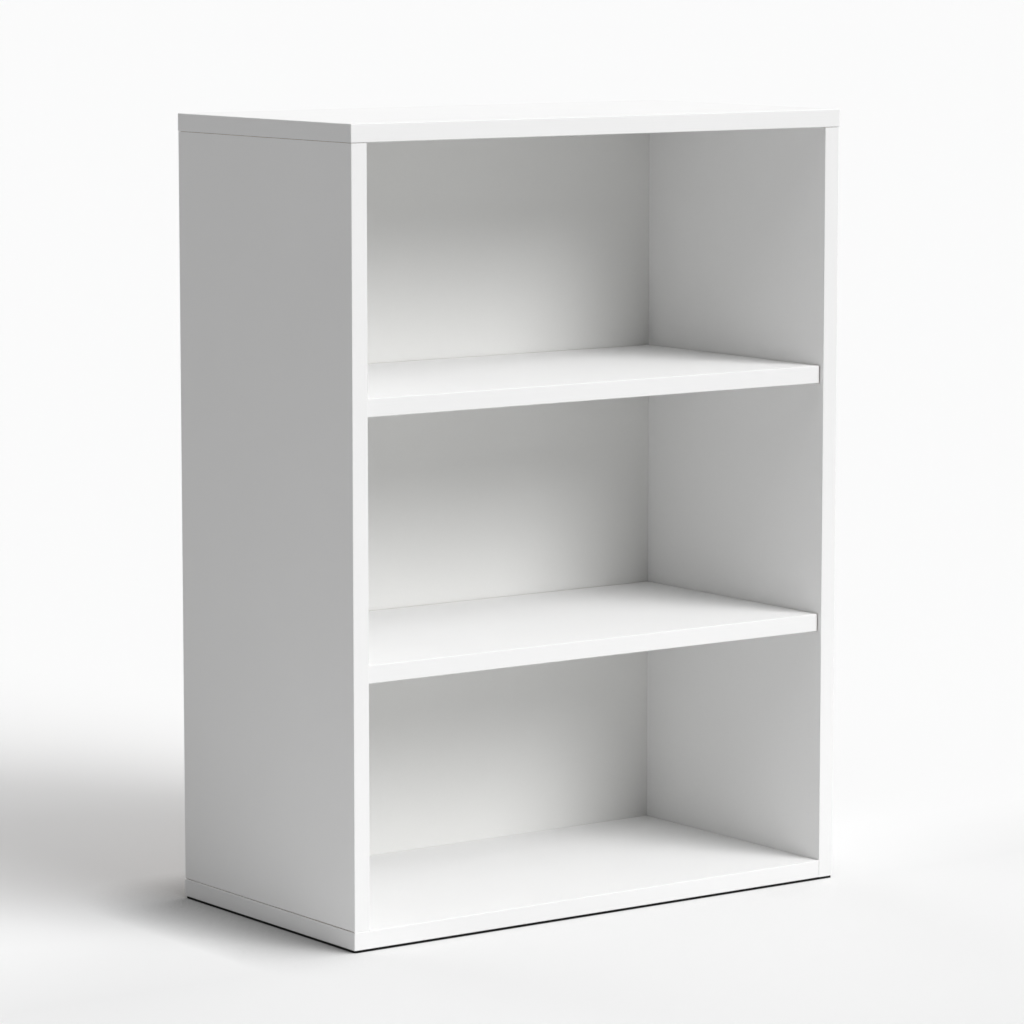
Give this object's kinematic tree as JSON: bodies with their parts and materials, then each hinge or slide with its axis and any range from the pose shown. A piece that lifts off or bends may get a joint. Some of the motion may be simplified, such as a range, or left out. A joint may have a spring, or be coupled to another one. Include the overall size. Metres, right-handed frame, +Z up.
{
  "type": "open bookcase",
  "caption": "Low open bookcase of white faced board: dowelled carcass, grooved-in back and loose shelves that draw out of the front, standing on black base strips.",
  "frame": {"origin": "on the floor, at the centre of the footprint", "axes": "+Z up, the open front faces -Y, +X to the right seen from the front"},
  "size_m": [0.601, 0.311, 0.8],
  "materials": {
    "white_board": "chipboard faced with satin white melamine, raw at the hidden edges",
    "white_edge_band": "satin white edge band with trimmed, rounded edges",
    "back_board": "hardboard, painted white on the front face and raw behind",
    "beech": "raw beech",
    "plated_steel": "nickel-plated steel",
    "black_strip": "matt black"
  },
  "bodies": {
    "carcass": {"left_side_panel": "white_board", "right_side_panel": "white_board", "top_panel": "white_board", "bottom_panel": "white_board", "back_panel": "back_board", "top_front_edge_band": "white_edge_band", "top_left_edge_band": "white_edge_band", "top_right_edge_band": "white_edge_band", "bottom_front_edge_band": "white_edge_band", "bottom_left_edge_band": "white_edge_band", "left_side_front_edge_band": "white_edge_band", "right_side_front_edge_band": "white_edge_band", "top_left_dowels": "beech", "top_right_dowels": "beech", "bottom_left_dowels": "beech", "bottom_right_dowels": "beech", "upper_shelf_support_front_left": "plated_steel", "upper_shelf_support_rear_left": "plated_steel", "upper_shelf_support_front_right": "plated_steel", "upper_shelf_support_rear_right": "plated_steel", "lower_shelf_support_front_left": "plated_steel", "lower_shelf_support_rear_left": "plated_steel", "lower_shelf_support_front_right": "plated_steel", "lower_shelf_support_rear_right": "plated_steel", "front_base_strip": "black_strip", "rear_base_strip": "black_strip", "left_base_strip": "black_strip", "right_base_strip": "black_strip"},
    "upper_shelf": {"upper_shelf": "white_board", "upper_shelf_front_edge_band": "white_edge_band"},
    "lower_shelf": {"lower_shelf": "white_board", "lower_shelf_front_edge_band": "white_edge_band"}
  },
  "joints": [
    {"name": "upper_shelf_slide", "type": "slide", "parent": "carcass", "child": "upper_shelf", "axis": [0, -1, 0], "range_m": [0, 0.3]},
    {"name": "lower_shelf_slide", "type": "slide", "parent": "carcass", "child": "lower_shelf", "axis": [0, -1, 0], "range_m": [0, 0.3]}
  ]
}
